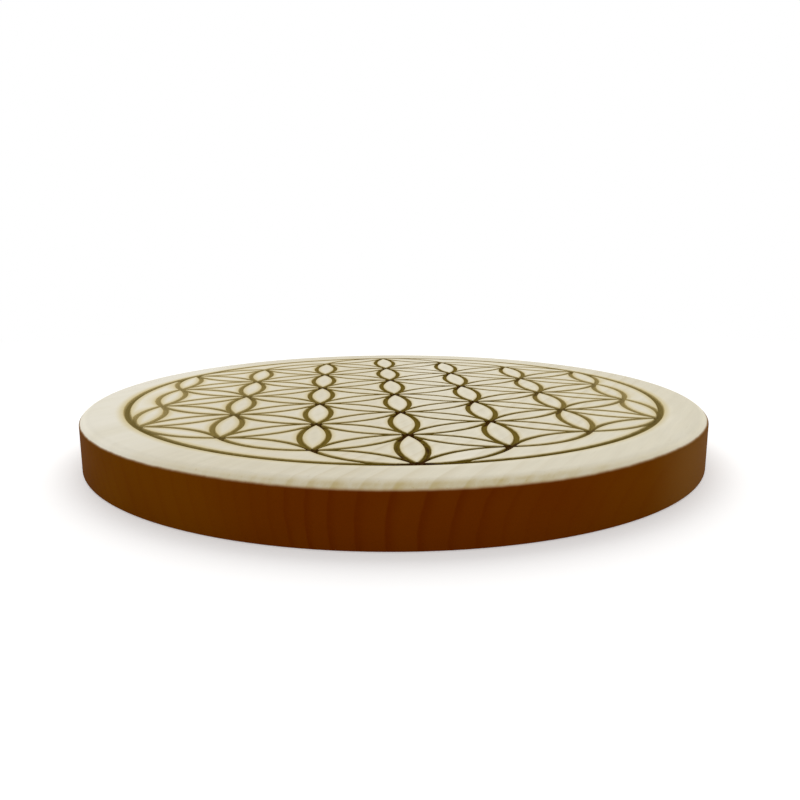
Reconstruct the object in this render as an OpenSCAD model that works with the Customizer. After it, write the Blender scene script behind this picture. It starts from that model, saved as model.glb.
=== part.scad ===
/* [Disc] */
// Diameter of the wooden disc
disc_d = 100; // [80:1:130]
// Thickness of the wooden disc
disc_t = 8; // [6:0.5:14]
// Width of the sanded easing along the top edge, measured on the face
ease_w = 1.8; // [0.5:0.1:3]
// Depth of that easing, measured down the side
ease_h = 0.9; // [0.3:0.1:1.5]
// Pale side left below the easing, where the brown stain begins
stain_margin = 0.1; // [0.05:0.05:1]
// Radius of the small round along the bottom edge
bottom_round = 0.4; // [0.2:0.1:1]

/* [Engraving] */
// Plain margin from the edge of the disc to the middle of the outer ring line
margin_w = 6.8; // [4:0.1:12]
// Width of the outer ring line
ring_line_w = 0.95; // [0.6:0.05:1.5]
// Width of the lines of the overlapping circles
circle_line_w = 0.8; // [0.5:0.05:1.2]
// Depth of the engraved lines
line_depth = 0.3; // [0.1:0.05:0.8]
// Turn of the pattern about the middle of the disc, in degrees
pattern_turn = 3.5; // [-30:0.1:30]

/* [Underside] */
// Plain wood left around the pad
base_rim_w = 8; // [4:0.5:20]
// Thickness of the cork pad
pad_t = 2; // [1:0.25:3]
// Thickness of the adhesive film that holds the pad
film_t = 0.2; // [0.1:0.05:0.4]
// Clearance around the pad and its film in the recess
pad_gap = 0.3; // [0.1:0.05:0.6]

/* [Hidden] */
// Fine steps for whole rounds, and steps for the circles of the pattern
$fn = 180;
circle_steps = 90;
// How far a cut runs past the face that it opens
overrun = 1;

disc_r = disc_d / 2;
pale_t = ease_h + stain_margin;
recess_r = disc_r - base_rim_w;
recess_depth = pad_t + film_t;
pad_r = recess_r - pad_gap;

// The outer ring's radius holds three radii of the pattern's circles
rings_of_circles = 2;
ring_r = disc_r - margin_w;
circle_r = ring_r / (rings_of_circles + 1);
ring_outer_r = ring_r + ring_line_w / 2;
ring_inner_r = ring_r - ring_line_w / 2;
line_inner_r = circle_r - circle_line_w / 2;
line_outer_r = circle_r + circle_line_w / 2;

// Circle centres lie on a triangular grid. A grid place is [i, j], counted in steps along
// directions 30 and 90 degrees from X, and each step is one circle radius long. So a grid
// point lies on the ring straight in front, before the pattern is turned.
steps = [[1, 0], [0, 1], [-1, 1], [-1, 0], [0, -1], [1, -1]];
function grid_point(g) = circle_r * [g[0] * cos(30), g[0] * sin(30) + g[1]];
function ring_number(g) = max(abs(g[0]), abs(g[1]), abs(g[0] + g[1]));
function whole(g) = ring_number(g) <= rings_of_circles;
reach = [-rings_of_circles - 1 : rings_of_circles + 1];
places = [for (i = reach, j = reach) [i, j]];
whole_circles = [for (g = places) if (whole(g)) g];

// A petal lies along one step of the grid. The two circles that make it have their centres
// on either side of that step.
petals = [
  for (g = places, k = [0 : 2])
    let (far = g + steps[k], left = g + steps[k + 1], right = g + steps[(k + 5) % 6])
      if (whole(g) || whole(far) || whole(left) || whole(right)) [left, right]
];

// The three-cornered fields lie between petals, one in each triangle of the grid
fields = [
  for (g = places, k = [0 : 1])
    let (second = g + steps[k], third = g + steps[k + 1])
      if (whole(g) || whole(second) || whole(third)) [g, second, third]
];

module at(g) {
  translate(concat(grid_point(g), 0)) children();
}

// A round plate whose top edge is eased by an arc that leaves the face without a corner.
// The arc runs in by the easing's width and down by its depth.
module eased_plate(r, h, width, depth) {
  arc_r = (width * width + depth * depth) / (2 * depth);
  rotate_extrude() {
    square([r - width, h]);
    square([r, h - depth]);
    intersection() {
      square([r, h]);
      translate([r - width, h - arc_r]) circle(arc_r);
    }
  }
}

// What the engraving leaves standing between its lines
module petal(pair) {
  intersection_for (g = pair) at(g) cylinder(h = line_depth, r = line_inner_r, $fn = circle_steps);
}

module field(corners) {
  difference() {
    linear_extrude(line_depth) polygon([for (g = corners) grid_point(g)]);
    for (k = [0 : 2])
      at(corners[k] + corners[(k + 1) % 3] - corners[(k + 2) % 3]) line_disc();
  }
}

module outer_fields() {
  difference() {
    cylinder(h = line_depth, r = ring_inner_r);
    for (g = whole_circles) at(g) line_disc();
  }
}

module line_disc() {
  translate([0, 0, -overrun]) cylinder(h = line_depth + 2 * overrun, r = line_outer_r, $fn = circle_steps);
}

module engraved_face() {
  for (pair = petals) petal(pair);
  for (corners = fields) field(corners);
  outer_fields();
}

// The pale top of the disc, down to where the stain begins
module pale_top() {
  difference() {
    eased_plate(disc_r, pale_t, ease_w, ease_h);
    translate([0, 0, pale_t - line_depth]) cylinder(h = line_depth + overrun, r = ring_outer_r);
  }
  translate([0, 0, pale_t - line_depth]) rotate(pattern_turn) engraved_face();
}

// The body below it, whose side is stained brown, with the recess for the pad
module stained_body() {
  h = disc_t - pale_t;
  difference() {
    translate([0, 0, h]) mirror([0, 0, 1]) eased_plate(disc_r, h, bottom_round, bottom_round);
    translate([0, 0, -overrun]) cylinder(h = recess_depth + overrun, r = recess_r);
  }
}

module wood_disc() {
  color("saddlebrown") stained_body();
  color("wheat") translate([0, 0, disc_t - pale_t]) pale_top();
}

module adhesive_film() {
  color("gainsboro") translate([0, 0, pad_t]) cylinder(h = film_t, r = pad_r);
}

module cork_pad() {
  color("peru") cylinder(h = pad_t, r = pad_r);
}

wood_disc();
adhesive_film();
cork_pad();
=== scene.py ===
import math

import bmesh
import bpy
import numpy as np
from mathutils import Matrix, Vector


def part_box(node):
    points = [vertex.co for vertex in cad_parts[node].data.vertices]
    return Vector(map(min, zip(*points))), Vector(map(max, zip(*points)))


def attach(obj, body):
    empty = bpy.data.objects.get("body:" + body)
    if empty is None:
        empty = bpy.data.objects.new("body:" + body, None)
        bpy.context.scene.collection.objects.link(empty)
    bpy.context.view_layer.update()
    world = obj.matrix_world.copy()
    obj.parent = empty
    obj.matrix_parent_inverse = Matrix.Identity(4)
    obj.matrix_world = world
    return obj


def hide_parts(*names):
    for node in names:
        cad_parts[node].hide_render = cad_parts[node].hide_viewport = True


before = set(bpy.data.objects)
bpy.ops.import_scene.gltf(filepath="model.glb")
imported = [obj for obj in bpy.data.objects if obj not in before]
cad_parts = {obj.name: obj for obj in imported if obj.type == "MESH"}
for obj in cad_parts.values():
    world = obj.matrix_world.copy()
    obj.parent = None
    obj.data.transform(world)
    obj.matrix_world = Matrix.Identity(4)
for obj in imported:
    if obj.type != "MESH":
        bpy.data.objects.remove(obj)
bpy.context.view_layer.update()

# Sizes are in millimetres unless a comment says metres. Only a mesh's own points are in metres.
MM = 0.001
disc_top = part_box("wood_disc")[1] / MM
pad_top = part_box("cork_pad")[1] / MM
film_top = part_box("adhesive_film")[1] / MM
DISC_R, DISC_T = disc_top.x, disc_top.z
PAD_R, PAD_T = pad_top.x, pad_top.z
RECESS_TOP = film_top.z

# Sizes of the disc, as its source has them
EASE_W = 1.8
EASE_H = 0.9
STAIN_MARGIN = 0.1
BOTTOM_ROUND = 0.4
PAD_GAP = 0.3
RECESS_R = PAD_R + PAD_GAP
STAIN_TOP = DISC_T - EASE_H - STAIN_MARGIN

# Sizes of the engraved pattern: a triangular grid of circles inside one ring
MARGIN_W = 6.8
WHOLE_RINGS = 2
GRID_RINGS = 3
RING_R = DISC_R - MARGIN_W
CIRCLE_R = RING_R / GRID_RINGS
RING_LINE_W = 0.95
CIRCLE_LINE_W = 0.8
LINE_DEPTH = 0.3
PATTERN_TURN = math.radians(3.5)

# Growth rings stand on edge and cross the face in the direction of the grain
GRAIN_TURN = math.radians(61)

COS30 = math.cos(math.radians(30))
TAN30 = math.tan(math.radians(30))


# Meshes

# Points nearer than this are one, faces that meet at more than this angle make a crease, and a
# small curve has this many points
SAME = 0.001
CREASE_ANGLE = math.radians(50)
CURVE_POINTS = 5


def grid_faces(rows, columns, closed=False):
    """Four-cornered faces between neighbouring rows and columns of a grid of points, row after row.
    A face runs along its row first, then to the next row. A closed grid joins its last column to
    its first."""
    last = columns if closed else columns - 1
    row, column = np.meshgrid(np.arange(rows - 1), np.arange(last), indexing="ij")
    beside = (column + 1) % columns
    return np.stack((row * columns + column, row * columns + beside,
                     (row + 1) * columns + beside, (row + 1) * columns + column), -1).reshape(-1, 4)


def soft_step(value, low, high):
    """0 below low, 1 above high, and 3t^2 - 2t^3 between."""
    t = np.clip((value - low) / (high - low), 0, 1)
    return t * t * (3 - 2 * t)


def soft_corner(start, corner, end):
    """A quadratic curve from start to end that bends towards corner: (1-t)^2 a + 2t(1-t) b + t^2 c."""
    t = np.linspace(0, 1, CURVE_POINTS)[:, None]
    start, corner, end = (np.array(p, float) for p in (start, corner, end))
    return (1 - t) ** 2 * start + 2 * t * (1 - t) * corner + t ** 2 * end


def points_on_rays(radii, heights, ray):
    """Points along each ray from the disc's axis, given as complex numbers: a row of points for each
    row of radii, at its height."""
    x, y = radii * ray.real, radii * ray.imag
    return np.stack((x, y, np.broadcast_to(heights, x.shape)), -1).reshape(-1, 3)


def merged_mesh(name, parts):
    """One mesh from parts, each its points (in millimetres) and faces. Points that coincide are
    merged."""
    points = np.concatenate([p for p, _ in parts])
    starts = np.cumsum([0] + [len(p) for p, _ in parts])
    faces = np.concatenate([f + s for (_, f), s in zip(parts, starts)])
    mesh = bpy.data.meshes.new(name)
    mesh.from_pydata(points * MM, [], faces.tolist())
    welded = bmesh.new()
    welded.from_mesh(mesh)
    bmesh.ops.remove_doubles(welded, verts=welded.verts, dist=SAME * MM)
    bmesh.ops.dissolve_degenerate(welded, edges=welded.edges, dist=SAME / 2 * MM)
    welded.to_mesh(mesh)
    welded.free()
    return mesh


def mesh_points(mesh):
    """The mesh's points in millimetres."""
    flat = np.empty(len(mesh.vertices) * 3)
    mesh.vertices.foreach_get("co", flat)
    return flat.reshape(-1, 3) / MM


def finish_mesh(mesh, points, **measures):
    """Puts the points back in metres, shades the mesh smooth but for its creases, and keeps the
    named measures, one number a point, for its material."""
    mesh.vertices.foreach_set("co", (points * MM).ravel())
    for name, values in measures.items():
        kept = mesh.attributes.new(name, "FLOAT", "POINT")
        kept.data.foreach_set("value", values.astype(np.float32))
    mesh.shade_smooth()
    mesh.set_sharp_from_angle(angle=CREASE_ANGLE)
    mesh.update()


def new_piece(mesh, material, node):
    """A piece that stands for a node of the frame."""
    piece = bpy.data.objects.new(mesh.name, mesh)
    bpy.context.scene.collection.objects.link(piece)
    mesh.materials.append(material)
    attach(piece, "root")
    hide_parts(node)
    return piece


# The engraved disc

# A groove's lip starts outside the line's edge, and its wall ends inside it. A guard row outside
# the lip keeps the face flat.
LIP = 0.05
WALL = 0.17
WALL_ROWS = (0.02, 0.09)
GUARD = 0.04

# How far the disc's corners are softened, and the burn reaches outside a line
SOFT_CORNER = 0.09
BURN_REACH = 0.3

# Rows of points between the lines, as shares of the way from one line to the next edge, and on the
# side, as shares of the height at which the stain ends
PETAL_ROW_SHARES = (0, 0.5)
FIELD_ROW_SHARES = (0.25, 0.6, 1)
OUTER_ROW_SHARES = (0.2, 0.6)
SIDE_ROW_SHARES = (0.66, 0.33)

# Points along the stretches of the disc's outline
MARGIN_POINTS = 4
EASING_POINTS = 12
ROUND_POINTS = 7

# Places along half a side of the grid's triangles, closer together near its corner, where lines meet
HALF_STEPS = 14
HALF_SIDE = CIRCLE_R / 2 * (np.arange(HALF_STEPS + 1) / HALF_STEPS) ** 1.5


def ring_number(places):
    """How many steps a place [i, j] of the grid lies from the middle: the largest of |i|, |j| and
    |i + j|."""
    return np.abs(np.stack((places[..., 0], places[..., 1], places.sum(-1)))).max(0)


def grid_point(places):
    """The point of grid place [i, j]: i steps 30 degrees from X and j steps along Y, one circle
    radius long."""
    return CIRCLE_R * np.stack((places[..., 0] * COS30, places[..., 0] / 2 + places[..., 1]), -1)


def grid_places(rings):
    """All places of the grid within that many steps of the middle."""
    reach = np.arange(-rings, rings + 1)
    places = np.stack(np.meshgrid(reach, reach), -1).reshape(-1, 2)
    return places[ring_number(places) <= rings]


def line_gaps(points):
    """How far each point lies outside each engraved line, less than zero inside it. Whole circles
    count everywhere, the others only where a whole circle covers the point, and the ring
    everywhere."""
    centres = grid_places(GRID_RINGS + 1)
    whole = ring_number(centres) <= WHOLE_RINGS
    away = np.linalg.norm(points[:, None, :2] - grid_point(centres)[None], axis=-1)
    covered = away[:, whole].min(1) <= CIRCLE_R
    from_circles = np.abs(away - CIRCLE_R) - CIRCLE_LINE_W / 2
    from_circles = np.where(covered[:, None] | whole, from_circles, np.inf)
    from_ring = np.abs(np.linalg.norm(points[:, :2], axis=-1) - RING_R) - RING_LINE_W / 2
    return np.concatenate((from_circles, from_ring[:, None]), 1)


def line_rows(line_w):
    """Offsets from the middle of a line to the rows of points that shape its groove: guard, lip,
    wall and floor, on either side of the middle."""
    inward = np.array((-LIP - GUARD, -LIP, *WALL_ROWS, WALL))
    half = line_w / 2 - inward
    return np.concatenate((-half, [0], half[::-1]))


def pattern_patches():
    """The hexagon inside the ring, cut in 54 grid triangles of 6 patches. A patch runs x along half
    a side and y up to the triangle's middle line, x tan 30. Its rows follow the arc that bulges over
    the side: a row at offset d from the arc has y = sqrt((r + d)^2 - (x - r/2)^2) - r cos 30, kept
    between the patch's edges."""
    x = HALF_SIDE
    top = x * TAN30
    offsets = line_rows(CIRCLE_LINE_W)[:, None]
    arcs = np.sqrt((CIRCLE_R + offsets) ** 2 - (x - CIRCLE_R / 2) ** 2) - CIRCLE_R * COS30
    arcs = np.clip(arcs, 0, top)
    inside = [share * arcs[0] for share in PETAL_ROW_SHARES]
    outside = [arcs[-1] + share * (top - arcs[-1]) for share in FIELD_ROW_SHARES]
    y = np.stack([*inside, *arcs, *outside])

    places = grid_places(GRID_RINGS)
    steps = np.array(((1, 0), (0, 1), (-1, 1)))
    triangles = np.concatenate([
        np.stack((places, places + steps[k], places + steps[k + 1]), 1) for k in (0, 1)
    ])
    corners = grid_point(triangles[(ring_number(triangles) <= GRID_RINGS).all(1)])
    faces = grid_faces(*y.shape)
    parts = []
    for a, b, c in ((0, 1, 2), (1, 2, 0), (2, 0, 1), (1, 0, 2), (2, 1, 0), (0, 2, 1)):
        start, end, third = corners[:, a], corners[:, b], corners[:, c]
        along = (end - start) / CIRCLE_R
        across = (third - (start + end) / 2) / (CIRCLE_R * COS30)
        flat = start[:, None, None] + along[:, None, None] * np.broadcast_to(x, y.shape)[..., None]
        flat = flat + across[:, None, None] * y[..., None]
        heights = np.full(flat.shape[:-1] + (1,), DISC_T)
        points = np.concatenate((flat, heights), -1).reshape(-1, 3)
        turned = faces if (b - a) % 3 == 1 else faces[:, ::-1]
        copies = turned[None] + (np.arange(len(corners)) * y.size)[:, None, None]
        parts.append((points, copies.reshape(-1, 4)))
    return parts


def hexagon_edge():
    """Points round the pattern's hexagon, as its patches have them, as complex numbers."""
    side = np.concatenate((HALF_SIDE, CIRCLE_R - HALF_SIDE[-2:0:-1]))
    along = (np.arange(GRID_RINGS)[:, None] * CIRCLE_R + side).ravel()
    corner = RING_R * np.exp(1j * math.pi / 3 * (np.arange(6) + 0.5))[:, None]
    following = np.roll(corner, -1)
    return (corner + (following - corner) * along / RING_R).ravel()


def disc_profile():
    """Radius and height of the disc's outline, from the plain margin over the eased edge and down
    the side, round the bottom edge and into the recess. The easing is an arc tangent to the face,
    of radius (w^2 + h^2) / 2h, and its corner with the side is softened by a quadratic curve."""
    margin_r = np.linspace(RING_R + RING_LINE_W, DISC_R - EASE_W, MARGIN_POINTS)[:-1]
    margin = np.stack((margin_r, np.full_like(margin_r, DISC_T)), -1)
    arc_r = (EASE_W ** 2 + EASE_H ** 2) / (2 * EASE_H)
    angle = np.linspace(0, math.asin(EASE_W / arc_r) - SOFT_CORNER / arc_r, EASING_POINTS)
    easing_r = DISC_R - EASE_W + arc_r * np.sin(angle)
    easing = np.stack((easing_r, DISC_T - arc_r * (1 - np.cos(angle))), -1)
    below = DISC_T - EASE_H
    shoulder = soft_corner(easing[-1], (DISC_R, below), (DISC_R, below - SOFT_CORNER))
    side = np.array([(DISC_R, share * STAIN_TOP) for share in SIDE_ROW_SHARES])
    quarter = np.linspace(0, math.pi / 2, ROUND_POINTS)
    bottom_r = DISC_R - BOTTOM_ROUND * (1 - np.cos(quarter))
    bottom = np.stack((bottom_r, BOTTOM_ROUND * (1 - np.sin(quarter))), -1)
    mouth = soft_corner((RECESS_R + SOFT_CORNER, 0), (RECESS_R, 0), (RECESS_R, SOFT_CORNER))
    inside = np.array(((RECESS_R, RECESS_TOP), (0, RECESS_TOP)))
    return np.concatenate((margin, easing, shoulder[1:], side, bottom, mouth, inside))


def disc_band():
    """The rest of the disc: a profile carried round the hexagon's edge. Its rows first follow the
    outline of the whole circles, which a ray at angle u leaves at c.u + sqrt((r + d)^2 - |c x u|^2),
    then the ring's line, and then the outline of the disc."""
    edge = hexagon_edge()
    ray = edge / np.abs(edge)
    centres = grid_point(grid_places(WHOLE_RINGS))
    centres = (centres[:, 0] + 1j * centres[:, 1])[:, None]
    forward = (centres.conj() * ray).real
    sideways = (centres.conj() * ray).imag
    ring_rows = np.maximum(RING_R + line_rows(RING_LINE_W)[:, None], np.abs(edge))
    rows = [np.abs(edge)]
    for offset in line_rows(CIRCLE_LINE_W):
        room = (CIRCLE_R + offset) ** 2 - sideways ** 2
        exits = np.where(room > 0, forward + np.sqrt(np.maximum(room, 0)), 0).max(0)
        rows.append(np.clip(exits, rows[0], ring_rows[0]))
    rows.insert(1, (rows[0] + rows[1]) / 2)
    for share in OUTER_ROW_SHARES:
        rows.append(rows[-1] + share * (ring_rows[0] - rows[-1]))
    profile = disc_profile()
    radii = np.concatenate((np.stack(rows), ring_rows, np.repeat(profile[:, :1], len(ray), 1)))
    heights = np.full((len(radii), 1), DISC_T)
    heights[-len(profile):] = profile[:, 1:]
    return points_on_rays(radii, heights, ray), grid_faces(*radii.shape, closed=True)[:, ::-1]


def engraved_disc():
    """The disc's mesh. A flat point at gap g from the lines sinks by the line's depth times a soft
    step of -g. Its burn is 1 in the middle of a line, and adds up where lines run over each other."""
    mesh = merged_mesh("engraved_disc", [*pattern_patches(), disc_band()])
    points = mesh_points(mesh)
    gaps = line_gaps(points)
    gap = gaps.min(1)
    burn = soft_step(-gaps, -BURN_REACH, CIRCLE_LINE_W / 2).sum(1)
    face = points[:, 2] > DISC_T - SAME
    points[face, 2] -= LINE_DEPTH * soft_step(-gap[face], -LIP, WALL)
    gap[~face] = DISC_R
    burn[~face] = 0
    turned = (points[:, 0] + 1j * points[:, 1]) * np.exp(1j * PATTERN_TURN)
    points[:, 0], points[:, 1] = turned.real, turned.imag
    finish_mesh(mesh, points, line_gap=gap, line_burn=burn)
    return mesh


# The cork pad

CORK_STEPS = 290
CORK_EDGE = 0.35

# Granules lie about this far apart. Their middles play within the middle shares of their cells, and
# spare cells lie outside the pad, so that each point has neighbours.
GRANULE = 2.0
GRANULE_SEED = 7
GRANULE_PLAY_SHARES = (0.08, 0.92)
SPARE_CELLS = 2

# Seams and pits are sunk by shares of one depth. A granule above this tone is a whole pit.
PIT_DEPTH = 0.16
PIT_TONE = 0.93
SEAM_EDGE = (0.05, 0.5)
PIT_EDGE = (0.1, 0.9)


def granules(x, y):
    """Cork granules as cells of a grid with jittered middles. Gives each point the gap between its
    nearest and second nearest middle, and a number from 0 to 1 that its granule has."""
    draw = np.random.default_rng(GRANULE_SEED)
    count = int(2 * PAD_R / GRANULE) + 3 * SPARE_CELLS
    jitter = draw.uniform(*GRANULE_PLAY_SHARES, (count, count, 2))
    tone = draw.random((count, count))
    cell_x = np.floor((x + PAD_R) / GRANULE).astype(int)
    cell_y = np.floor((y + PAD_R) / GRANULE).astype(int)
    away, tones = [], []
    for i in (-1, 0, 1):
        for j in (-1, 0, 1):
            place = cell_x + i + SPARE_CELLS, cell_y + j + SPARE_CELLS
            near = jitter[place]
            middle_x = (cell_x + i + near[:, 0]) * GRANULE - PAD_R
            middle_y = (cell_y + j + near[:, 1]) * GRANULE - PAD_R
            away.append(np.hypot(x - middle_x, y - middle_y))
            tones.append(tone[place])
    away, tones = np.stack(away), np.stack(tones)
    order = np.argsort(away, 0)[:2]
    nearest = np.take_along_axis(away, order, 0)
    return nearest[1] - nearest[0], np.take_along_axis(tones, order[:1], 0)[0]


def round_sheet(radius):
    """A square grid bent to a disc, where rings of the square become rings of the disc: at
    |a| >= |b| the radius is a and the angle 45 b/a degrees, and the other way round elsewhere."""
    line = np.linspace(-1, 1, CORK_STEPS + 1)
    a, b = np.meshgrid(line, line)
    sideways = np.abs(a) >= np.abs(b)
    ring = np.where(sideways, a, b)
    other = np.where(sideways, b, a)
    share = np.divide(other, ring, out=np.zeros_like(other), where=ring != 0)
    angle = np.where(sideways, share * math.pi / 4, math.pi / 2 - share * math.pi / 4)
    away = radius * ring
    return np.stack((away * np.cos(angle), away * np.sin(angle), np.zeros_like(a)), -1)


def cork_mesh():
    """The pad. Its underside is a round sheet, in which seams between granules and whole pits are
    sunk, and a profile carried round the sheet's edge makes the side and the upper face."""
    flat = round_sheet(PAD_R - CORK_EDGE)
    rim = np.concatenate((flat[0, :-1], flat[:-1, -1], flat[-1, :0:-1], flat[:0:-1, 0]))
    ray = rim[:, 0] + 1j * rim[:, 1]
    ray /= np.abs(ray)
    quarter = np.linspace(0, math.pi / 2, CURVE_POINTS)[1:]
    edge_r = PAD_R - CORK_EDGE * (1 - np.sin(quarter))
    edge = np.stack((edge_r, CORK_EDGE * (1 - np.cos(quarter))), -1)
    profile = np.concatenate((((PAD_R - CORK_EDGE, 0),), edge, ((PAD_R, PAD_T), (0, PAD_T))))
    band = points_on_rays(profile[:, :1], profile[:, 1:], ray)
    mesh = merged_mesh("cork_base", [
        (flat.reshape(-1, 3), grid_faces(*flat.shape[:2])[:, ::-1]),
        (band, grid_faces(len(profile), len(ray), closed=True)),
    ])
    points = mesh_points(mesh)
    gap, tone = granules(points[:, 0], points[:, 1])
    underside = points[:, 2] < SAME
    inward = PAD_R - np.hypot(points[:, 0], points[:, 1])
    seam = (1 - soft_step(gap, *SEAM_EDGE)) * (0.4 + 0.6 * tone)
    sunk = np.where(tone > PIT_TONE, 0.9, 0.25 * tone) * soft_step(gap, *PIT_EDGE)
    relief = PIT_DEPTH * np.maximum(seam, sunk) * soft_step(inward, CORK_EDGE, 3 * CORK_EDGE)
    points[underside, 2] += relief[underside]
    finish_mesh(mesh, points, granule_gap=gap, granule_tone=tone)
    return mesh


# Materials

class Finish:
    """A material, whose node tree is written as sums and products of signals."""

    def __init__(self, name):
        self.material = bpy.data.materials.new(name)
        self.material.use_nodes = True
        self.tree = self.material.node_tree
        self.tree.nodes.clear()

    def feed(self, socket, value):
        """Sets an input socket, or links a signal or an output to it."""
        if isinstance(value, Signal):
            value = value.socket
        if isinstance(value, bpy.types.NodeSocket):
            self.tree.links.new(value, socket)
        else:
            socket.default_value = value

    def node(self, kind, inputs, **settings):
        """A node with its settings, and its input sockets by name or number."""
        made = self.tree.nodes.new(kind)
        for name, value in settings.items():
            setattr(made, name, value)
        for key, value in inputs.items():
            self.feed(made.inputs[key], value)
        return made

    def math(self, operation, *values):
        """A Math node's result."""
        made = self.node("ShaderNodeMath", dict(enumerate(values)), operation=operation)
        return Signal(self, made.outputs[0])

    def place(self, turn=0.0):
        """Object coordinates in millimetres, turned about the disc's axis."""
        coordinates = self.node("ShaderNodeTexCoord", {})
        made = self.node("ShaderNodeMapping", {
            "Vector": coordinates.outputs["Object"],
            "Rotation": (0, 0, turn),
            "Scale": (1 / MM,) * 3,
        })
        return made.outputs[0]

    def split(self, place):
        """The three coordinates of a place."""
        made = self.node("ShaderNodeSeparateXYZ", {0: place})
        return [Signal(self, output) for output in made.outputs]

    def distance(self, place, point=(0, 0, 0)):
        """How far a place lies from a point."""
        made = self.node("ShaderNodeVectorMath", {0: place, 1: point}, operation="DISTANCE")
        return Signal(self, made.outputs["Value"])

    def measure(self, name):
        """A number that the mesh keeps for each of its points."""
        made = self.node("ShaderNodeAttribute", {}, attribute_name=name)
        return Signal(self, made.outputs["Fac"])

    def noise(self, place, per_mm, detail=2.0, roughness=0.5):
        """Noise about 0, with so many cells in a millimetre along each axis of the place."""
        cells = self.node("ShaderNodeVectorMath", {0: place, 1: per_mm}, operation="MULTIPLY")
        made = self.node("ShaderNodeTexNoise", {
            "Vector": cells.outputs[0],
            "Scale": 1.0,
            "Detail": detail,
            "Roughness": roughness,
        })
        return Signal(self, made.outputs["Fac"]) - 0.5

    def step(self, value, low, high):
        """0 below low, 1 above high, and smooth between. High may be the lower one."""
        made = self.node("ShaderNodeMapRange", {"Value": value, "From Min": low, "From Max": high},
                         interpolation_type="SMOOTHSTEP")
        return Signal(self, made.outputs[0])

    def mix(self, share, first, second):
        """A colour between two, each a colour or an output."""
        opaque = [(*c, 1.0) if isinstance(c, tuple) else c for c in (first, second)]
        made = self.node("ShaderNodeMix", {0: share, 6: opaque[0], 7: opaque[1]}, data_type="RGBA",
                         clamp_factor=True)
        return made.outputs[2]

    def shade(self, colour, light):
        """A colour made lighter or darker by a number near 1."""
        made = self.node("ShaderNodeVectorMath", {0: colour, "Scale": light}, operation="SCALE")
        return made.outputs[0]

    def surface(self, colour, roughness, height, depth, **constants):
        """The shader and output. Height is a signal, and depth the millimetres that one unit of it
        raises."""
        bump = self.node("ShaderNodeBump", {"Height": height, "Distance": depth * MM, "Strength": 1.0})
        inputs = {"Base Color": colour, "Roughness": roughness, "Normal": bump.outputs[0]}
        shader = self.node("ShaderNodeBsdfPrincipled", {**inputs, **constants})
        self.node("ShaderNodeOutputMaterial", {"Surface": shader.outputs[0]})
        return self.material


class Signal:
    """A number that varies over a surface. Python's operators on it add Math nodes."""

    def __init__(self, finish, socket):
        self.finish, self.socket = finish, socket

    def __add__(self, other):
        return self.finish.math("ADD", self, other)

    def __sub__(self, other):
        return self.finish.math("SUBTRACT", self, other)

    def __rsub__(self, other):
        return self.finish.math("SUBTRACT", other, self)

    def __mul__(self, other):
        return self.finish.math("MULTIPLY", self, other)

    def __pow__(self, other):
        return self.finish.math("POWER", self, other)

    __radd__, __rmul__ = __add__, __mul__


# The wood's finish

# Linear colours of the wood, its stain and its burnt lines
PALE = (0.785, 0.744, 0.635)
PALE_WARM = (0.712, 0.663, 0.53)
PALE_GREY = (0.60, 0.53, 0.38)
SOAKED = (0.555, 0.445, 0.215)
STAIN_RIM = (0.36, 0.205, 0.085)
STAIN = (0.119, 0.0222, 0.0002)
STAIN_DARK = (0.096, 0.0135, 0.0001)
# Lighter, more olive stain for the ends, where it stands in for painted light from the left and right
STAIN_OLIVE = (0.134, 0.0405, 0.0003)
# A painted sheen on the stain at the right end
STAIN_SHEEN = (0.168, 0.065, 0.0095)
SINGED = (0.55, 0.43, 0.15)
SCORCH = (0.34, 0.235, 0.035)
BURNT = (0.150, 0.100, 0.010)
BURNT_LESS = (0.175, 0.127, 0.033)
CHAR = (0.040, 0.0140, 0.0005)

# Growth rings in a millimetre across the grain, and a slow swing of their spacing
RINGS_PER_MM = 0.4118
RING_START = 0.84
SWING = 0.5436
SWING_PER_MM = 0.2
SWING_START = -1.362
RING_STRETCH = 1.019

# The rings stand upright at one place across the grain. Away from it they lean, and all of them bow,
# about one height on the side.
UPRIGHT_AT = -18.8
LEAN = 0.016
BOW = 0.025
BOW_HEIGHT = 3.5

# The rings show most in one strip of the board. These are the places across the grain where they
# fade in and out, and how much they show inside the strip and everywhere.
BOLD_IN = (-38, -30)
BOLD_OUT = (-10, -15)
BOLDNESS = 0.55
FAINTNESS = 0.14

# How far below the face the painted light on the eased edge is at its fullest, and from how far above
# the face to how far below it the stain soaks in more and more
EASED_PAINTED_LIGHT = 0.3
SOAK_FROM = 0.02
SOAK_FULL = 0.4

# How much higher than its line in the middle the stain climbs at the left and right ends
CLIMB_LEFT = 0.19
CLIMB_RIGHT = 0.30

# One point at the front, and how far from it the lines are charred more, in part and in full
CHAR_MIDDLE = (7.0, -43.0, DISC_T)
CHAR_REACH = 19.0
CHAR_FULL = 7.0

# Depth of the grain's relief
WOOD_RELIEF = 0.02


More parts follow.
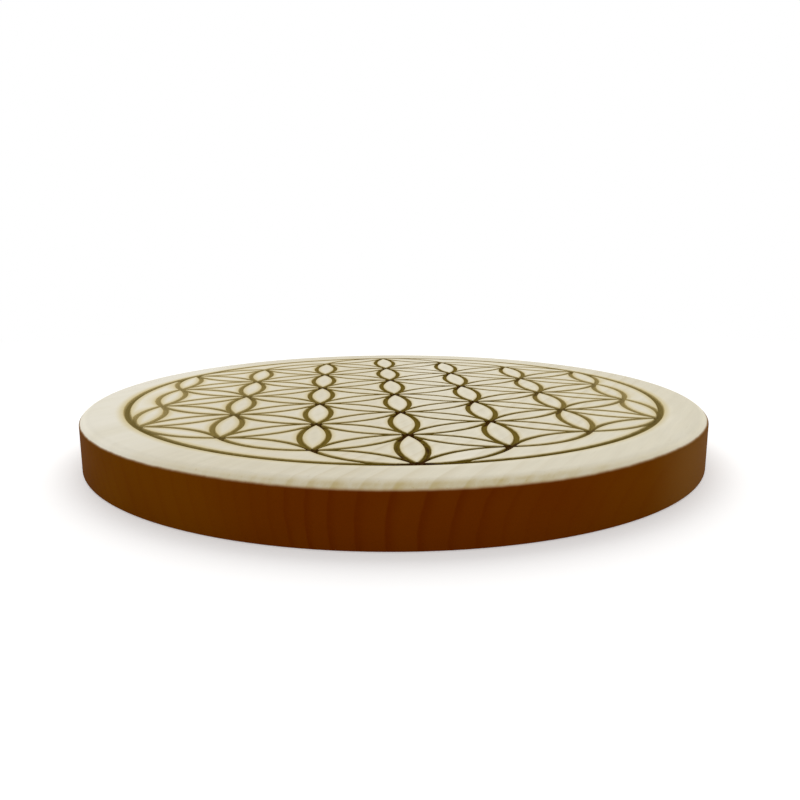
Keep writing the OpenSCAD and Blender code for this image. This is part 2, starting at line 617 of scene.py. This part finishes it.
class Board:
    """The signals that the wood's colours share: where a point lies, how near it is to a line, the
    growth rings and the noise of the grain, which is longest along it."""

    def __init__(self, f):
        self.finish = f
        self.place = f.place(-GRAIN_TURN)
        _, self.across, self.up = f.split(self.place)
        self.side, _, _ = f.split(f.place())
        self.gap, self.burn = f.measure("line_gap"), f.measure("line_burn")

        # 1 at both ends, at the right end alone, and at the left end alone. Much of what the ends
        # carry is painted light from the left and right, and the right end alone carries a painted
        # sheen.
        self.ends = f.step(f.math("ABSOLUTE", self.side * (1 / DISC_R) - 0.06), 0.1, 0.9)
        self.right_sheen = self.between(0.60, 0.80)
        self.calm = self.between(-0.35, -0.65)

        # From broad clouds to single fibres, then pores, and the play of the burn
        self.cloud = f.noise(self.place, (0.05, 0.12, 0.12))
        self.mottle = f.noise(self.place, (0.10, 0.8, 0.8), detail=3)
        self.fibre = f.noise(self.place, (0.10, 3.2, 3.2), detail=4, roughness=0.6)
        self.hair = f.noise(self.place, (0.35, 9.0, 9.0))
        pores = f.noise(self.place, (0.30, 2.4, 2.4), roughness=0.7)
        self.fleck = f.step(pores, 0.13, 0.24)
        self.flame = f.noise(self.place, (1.1, 1.1, 1.1), detail=3)
        self.streak = self.late_wood()

    def between(self, low_share, high_share):
        """0 at one place from left to right and 1 at another, each a share of the radius from the
        middle."""
        return self.finish.step(self.side, DISC_R * low_share, DISC_R * high_share)

    def late_wood(self):
        """The dark late wood of the growth rings. The ring at t across the grain has the number
        n t - s sin(w t + p) + q, and its late wood lies in the last part of each whole number. Noise
        lets t wander, and on the side it leans and bows with the height."""
        f = self.finish
        sway = f.noise(self.place, (0.02, 0.07, 0.0))
        wander = f.noise(self.place, (0.05, 0.3, 0.3))
        below = BOW_HEIGHT - self.up
        bent = below * ((self.across - UPRIGHT_AT) * LEAN + below * BOW)
        t = self.across * RING_STRETCH + bent + sway + wander * 0.5
        swing = f.math("SINE", t * SWING_PER_MM + SWING_START)
        ring = f.math("FRACT", t * RINGS_PER_MM - swing * SWING + RING_START)
        late = f.step(ring, 0.3, 0.95) ** 2.0 * f.step(ring, 1.0, 0.9)
        strip = f.step(t, *BOLD_IN) * f.step(t, *BOLD_OUT)
        return late * (strip * (BOLDNESS + self.cloud * 1.2) + FAINTNESS)


def pale_wood(f, board):
    """The sanded wood: warmer towards the right and greyer left of the middle, with the growth rings
    and flecks in grey. Its paler margins at the left and the far right are a painted sheen, and the
    grey left of the middle is a painted shade. A painted highlight makes it lighter beside the lines,
    and painted light makes it lighter over the eased edge, which takes up some of the stain, less of
    it towards the ends, where the missing stain is painted light too."""
    b = board
    # The wood's uneven warmth, with a painted sheen making the left and the far right end paler
    tone_and_sheen = f.step(b.cloud + b.side * (0.4 / DISC_R) - b.right_sheen * 0.2, -0.45, 0.05)
    pale = f.mix(tone_and_sheen, PALE, PALE_WARM)
    # Painted shade: greyer left of the middle
    shaded = b.between(-0.8, -0.5) * b.between(0.15, -0.1)
    uneven = 1.0 - b.calm * 0.6
    pale = f.mix((b.streak * 0.6 + b.fleck * 0.2) * uneven + shaded * 0.30, pale, PALE_GREY)
    pale = f.shade(pale, 1.0 + (b.fibre * 0.08 + b.mottle * 0.13) * uneven + b.hair * 0.05)
    # Painted light: the eased edge is made lighter, more towards the ends
    eased = f.step(b.up, DISC_T, DISC_T - EASED_PAINTED_LIGHT) * (b.ends * 0.07 - b.calm * 0.03 + 0.09)
    # Painted highlight: a lighter band beside the lines
    pale = f.shade(pale, 1.0 + f.step(b.gap, 1.6, 0.4) * 0.06 + eased)
    edge = f.step(b.up, DISC_T + SOAK_FROM, DISC_T - SOAK_FULL)
    thirst = f.step(b.fibre * 0.5 + b.fleck * 0.3 + b.mottle + b.streak * 0.45, -0.72, 0.63)
    # Less soak towards the ends is painted light
    return f.mix(edge * (1.0 - b.ends) * thirst, pale, SOAKED)


def brown_stain(f, board):
    """The stain: darker in the growth rings, lighter and more olive towards the ends with painted
    light, and with a painted sheen at the right end.
    """
    b = board
    # Painted light: the stain is lighter and more olive towards the ends
    stain = f.mix(b.ends + b.cloud * 0.6, STAIN, STAIN_OLIVE)
    stain = f.mix(b.streak * 0.95 + b.fibre * 0.3, stain, STAIN_DARK)
    # Painted sheen: the stain is lighter at the right end
    stain = f.mix(b.right_sheen, stain, STAIN_SHEEN)
    return f.shade(stain, 1.0 + b.cloud * 0.12 + b.hair * 0.05)


def stained_wood(f, board):
    """Pale wood above and stain below a wavering line, with a lighter rim between them. The line
    climbs towards the left and right ends."""
    waver = f.noise(board.place, (0.6, 0.6, 0.0), detail=3)
    climb = board.between(-0.05, -0.5) * CLIMB_LEFT + board.between(0.33, 0.72) * CLIMB_RIGHT
    above = board.up + waver * 0.14 - climb + 0.04
    rim = f.step(above, STAIN_TOP + 0.40 - board.ends * 0.16, STAIN_TOP + 0.02)
    wood = f.mix(rim, pale_wood(f, board), STAIN_RIM)
    full = f.step(above, STAIN_TOP + 0.22, STAIN_TOP - 0.10)
    return f.mix(full, wood, brown_stain(f, board))


def burnt_lines(f, board, wood):
    """The burnt lines laid over the wood, and how charred they are. A line is brown, with a gold
    scorch at its edges and a singed margin outside them. Towards the ends all three reach further
    and the brown is paler, most of all inside the ring. A line is charred where others run over it,
    and near one point at the front."""
    b = board
    loose = f.math("ABSOLUTE", b.side * (1.3 / DISC_R) - 0.2)
    singe = f.step(b.gap + b.flame * 0.14, loose * 0.8 + 0.5, -0.05)
    wood = f.mix(singe * (loose * 0.25 + 0.35), wood, SINGED)
    scorch = f.step(b.gap + b.flame * 0.10, loose * 0.12 + 0.07, -0.06)
    wood = f.mix(scorch * (0.9 - b.ends * 0.3), wood, SCORCH)
    inside_ring = f.step(f.distance(b.place), RING_R + 0.3, RING_R - 0.4)
    burnt = f.step(b.gap + b.flame * 0.08, loose * 0.05 - 0.02, loose * -0.16 - 0.04)
    burnt = burnt * (1.0 - inside_ring * b.ends * 0.45)
    wood = f.mix(burnt, wood, f.mix(b.ends, BURNT, BURNT_LESS))
    near = f.step(f.distance(f.place(), CHAR_MIDDLE), CHAR_REACH, CHAR_FULL)
    charred = f.step(b.burn * 1.4 + b.flame * 1.2 + near * 0.7, 1.45, 2.3) * (1.0 - b.ends * 0.9)
    return f.mix(charred, wood, CHAR), charred


def engraved_wood():
    """Pale close-grained wood, stained brown below its eased edge, with burnt lines. Fibres stand up a
    little, late wood is rubbed down, and the burnt floor of a line is rough."""
    f = Finish("engraved_wood")
    b = Board(f)
    wood, charred = burnt_lines(f, b, stained_wood(f, b))
    roughness = 0.75 + b.fibre * 0.2 + charred * 0.15
    grain = b.fibre * 0.6 + b.hair * 0.5 - b.streak * 0.3
    height = grain + b.flame * f.step(b.gap, 0.0, -0.2) * 1.5
    lacquer = {"Coat Weight": 0.05, "Coat IOR": 1.1, "Coat Roughness": 0.2}
    return f.surface(wood, roughness, height, WOOD_RELIEF, **{"Specular IOR Level": 0.0}, **lacquer)


# The finishes of the pad and its film

CORK_LIGHT = (0.42, 0.25, 0.125)
CORK_DARK = (0.24, 0.125, 0.055)
CORK_SEAM = (0.085, 0.038, 0.016)
CORK_RELIEF = 0.08
FILM_CLEAR = (0.55, 0.50, 0.38)
FILM_MILKY = (0.66, 0.64, 0.56)
FILM_RELIEF = 0.01


def cork():
    """Agglomerated cork: granules of differing tone, dark seams between them, and fine specks."""
    f = Finish("cork")
    place = f.place()
    gap, tone = f.measure("granule_gap"), f.measure("granule_tone")
    grain = f.noise(place, (1.6, 1.6, 1.6), detail=4, roughness=0.65)
    speck = f.step(f.noise(place, (3.1, 3.1, 3.1)), 0.16, 0.24)
    colour = f.mix(tone + grain * 0.9, CORK_LIGHT, CORK_DARK)
    colour = f.mix(f.step(gap + grain * 0.3, 0.32, 0.0) * 0.75, colour, CORK_SEAM)
    colour = f.mix(speck * 0.7, colour, CORK_SEAM)
    roughness = 0.82 + grain * 0.2
    height = grain - speck * 0.5
    return f.surface(colour, roughness, height, CORK_RELIEF, **{"Specular IOR Level": 0.2})


def adhesive():
    """A clear film, milky where it has not wetted the wood."""
    f = Finish("adhesive")
    place = f.place()
    cloud = f.noise(place, (0.4, 0.4, 0.4), detail=3)
    ripple = f.noise(place, (2.0, 2.0, 2.0))
    colour = f.mix(f.step(cloud, -0.2, 0.2), FILM_CLEAR, FILM_MILKY)
    roughness = 0.35 + ripple * 0.3
    return f.surface(colour, roughness, ripple, FILM_RELIEF, **{"Specular IOR Level": 0.5})


# Camera, floor and light

FOCAL_PX = 755
FRAME_PX = 800
SENSOR = 36.0
CAMERA_AWAY = 129.3
CAMERA_ELEVATION = math.radians(10.81)
CAMERA_YAW = math.radians(-0.41)
CAMERA_PITCH = math.radians(-0.45)
CAMERA_ROLL = math.radians(0.155)
CLIP_METRES = (0.01, 20)


def aim_camera():
    """The photograph's view: it looks at the middle of the face from the front, then turns a
    little."""
    data = bpy.data.cameras.new("camera")
    data.sensor_width = SENSOR
    data.lens = FOCAL_PX / FRAME_PX * SENSOR
    data.clip_start, data.clip_end = CLIP_METRES
    camera = bpy.data.objects.new("camera", data)
    bpy.context.scene.collection.objects.link(camera)
    forward = Vector((0, math.cos(CAMERA_ELEVATION), -math.sin(CAMERA_ELEVATION)))
    right = Vector((1, 0, 0))
    up = right.cross(forward)
    back = -forward
    for angle, axis in ((CAMERA_YAW, 2), (CAMERA_PITCH, 0), (CAMERA_ROLL, 1)):
        turn = Matrix.Rotation(angle, 3, (right, forward, up)[axis])
        right, forward, up = turn @ right, turn @ forward, turn @ up
    camera.matrix_world = Matrix((right, up, -forward)).transposed().to_4x4()
    middle = Vector((0, 0, DISC_T))
    camera.location = (middle + back * CAMERA_AWAY) * MM
    bpy.context.scene.camera = camera


# Sizes of the floor and the lamp are in metres
FLOOR_HALF = 3.0
FLOOR_COLOUR = (0.82, 0.81, 0.80, 1)
FLOOR_GLOW = 0.34
WHITE_FROM = 0.05
WHITE_AT = 0.20


def lay_floor():
    """A plain pale floor that glows a little, like a light table. The camera sees it plain white
    away from the object, and not at all from below."""
    mesh = bpy.data.meshes.new("floor")
    h = FLOOR_HALF
    mesh.from_pydata([(-h, -h, 0), (h, -h, 0), (h, h, 0), (-h, h, 0)], [], [(0, 1, 2, 3)])
    floor = bpy.data.objects.new("floor", mesh)
    bpy.context.scene.collection.objects.link(floor)
    f = Finish("floor")
    diffuse = f.node("ShaderNodeBsdfDiffuse", {"Color": FLOOR_COLOUR}).outputs[0]
    glow = f.node("ShaderNodeEmission", {"Strength": FLOOR_GLOW}).outputs[0]
    lit = f.node("ShaderNodeAddShader", {0: diffuse, 1: glow}).outputs[0]
    white = f.node("ShaderNodeEmission", {"Strength": 1.0}).outputs[0]
    seen = Signal(f, f.node("ShaderNodeLightPath", {}).outputs["Is Camera Ray"])
    place = f.node("ShaderNodeTexCoord", {}).outputs["Object"]
    far = f.step(f.distance(place), WHITE_FROM, WHITE_AT) * seen
    lit = f.node("ShaderNodeMixShader", {0: far, 1: lit, 2: white}).outputs[0]
    clear = f.node("ShaderNodeBsdfTransparent", {}).outputs[0]
    below = f.node("ShaderNodeNewGeometry", {}).outputs["Backfacing"]
    both = f.node("ShaderNodeMixShader", {0: below, 1: lit, 2: clear}).outputs[0]
    f.node("ShaderNodeOutputMaterial", {"Surface": both})
    mesh.materials.append(f.material)


SKY = 0.62
LAMP_SIZE = 0.9
LAMP_PLACE = (-0.03, 0.55, 0.65)
LAMP_POWER = 4.8


def light_the_room():
    """A plain sky of one pale tone, white where it is seen or mirrored, and one broad soft lamp
    overhead."""
    world = bpy.data.worlds.new("room")
    bpy.context.scene.world = world
    world.use_nodes = True
    tree = world.node_tree
    background = tree.nodes["Background"]
    path = tree.nodes.new("ShaderNodeLightPath")
    seen = path.outputs["Is Camera Ray"]
    for other in ("Is Transmission Ray", "Is Glossy Ray"):
        either = tree.nodes.new("ShaderNodeMath")
        either.operation = "MAXIMUM"
        tree.links.new(seen, either.inputs[0])
        tree.links.new(path.outputs[other], either.inputs[1])
        seen = either.outputs[0]
    strength = tree.nodes.new("ShaderNodeMapRange")
    strength.inputs["To Min"].default_value = SKY
    tree.links.new(seen, strength.inputs["Value"])
    tree.links.new(strength.outputs[0], background.inputs["Strength"])
    background.inputs["Color"].default_value = (1, 1, 1, 1)

    data = bpy.data.lights.new("lamp", "AREA")
    data.size = LAMP_SIZE
    data.energy = LAMP_POWER
    lamp = bpy.data.objects.new("lamp", data)
    lamp.location = LAMP_PLACE
    lamp.rotation_euler = (-Vector(LAMP_PLACE)).to_track_quat("-Z", "Y").to_euler()
    bpy.context.scene.collection.objects.link(lamp)


bpy.context.scene.view_settings.view_transform = "Standard"
aim_camera()
lay_floor()
light_the_room()
new_piece(engraved_disc(), engraved_wood(), "wood_disc")
new_piece(cork_mesh(), cork(), "cork_pad")
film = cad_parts["adhesive_film"]
film.material_slots[0].material = adhesive()
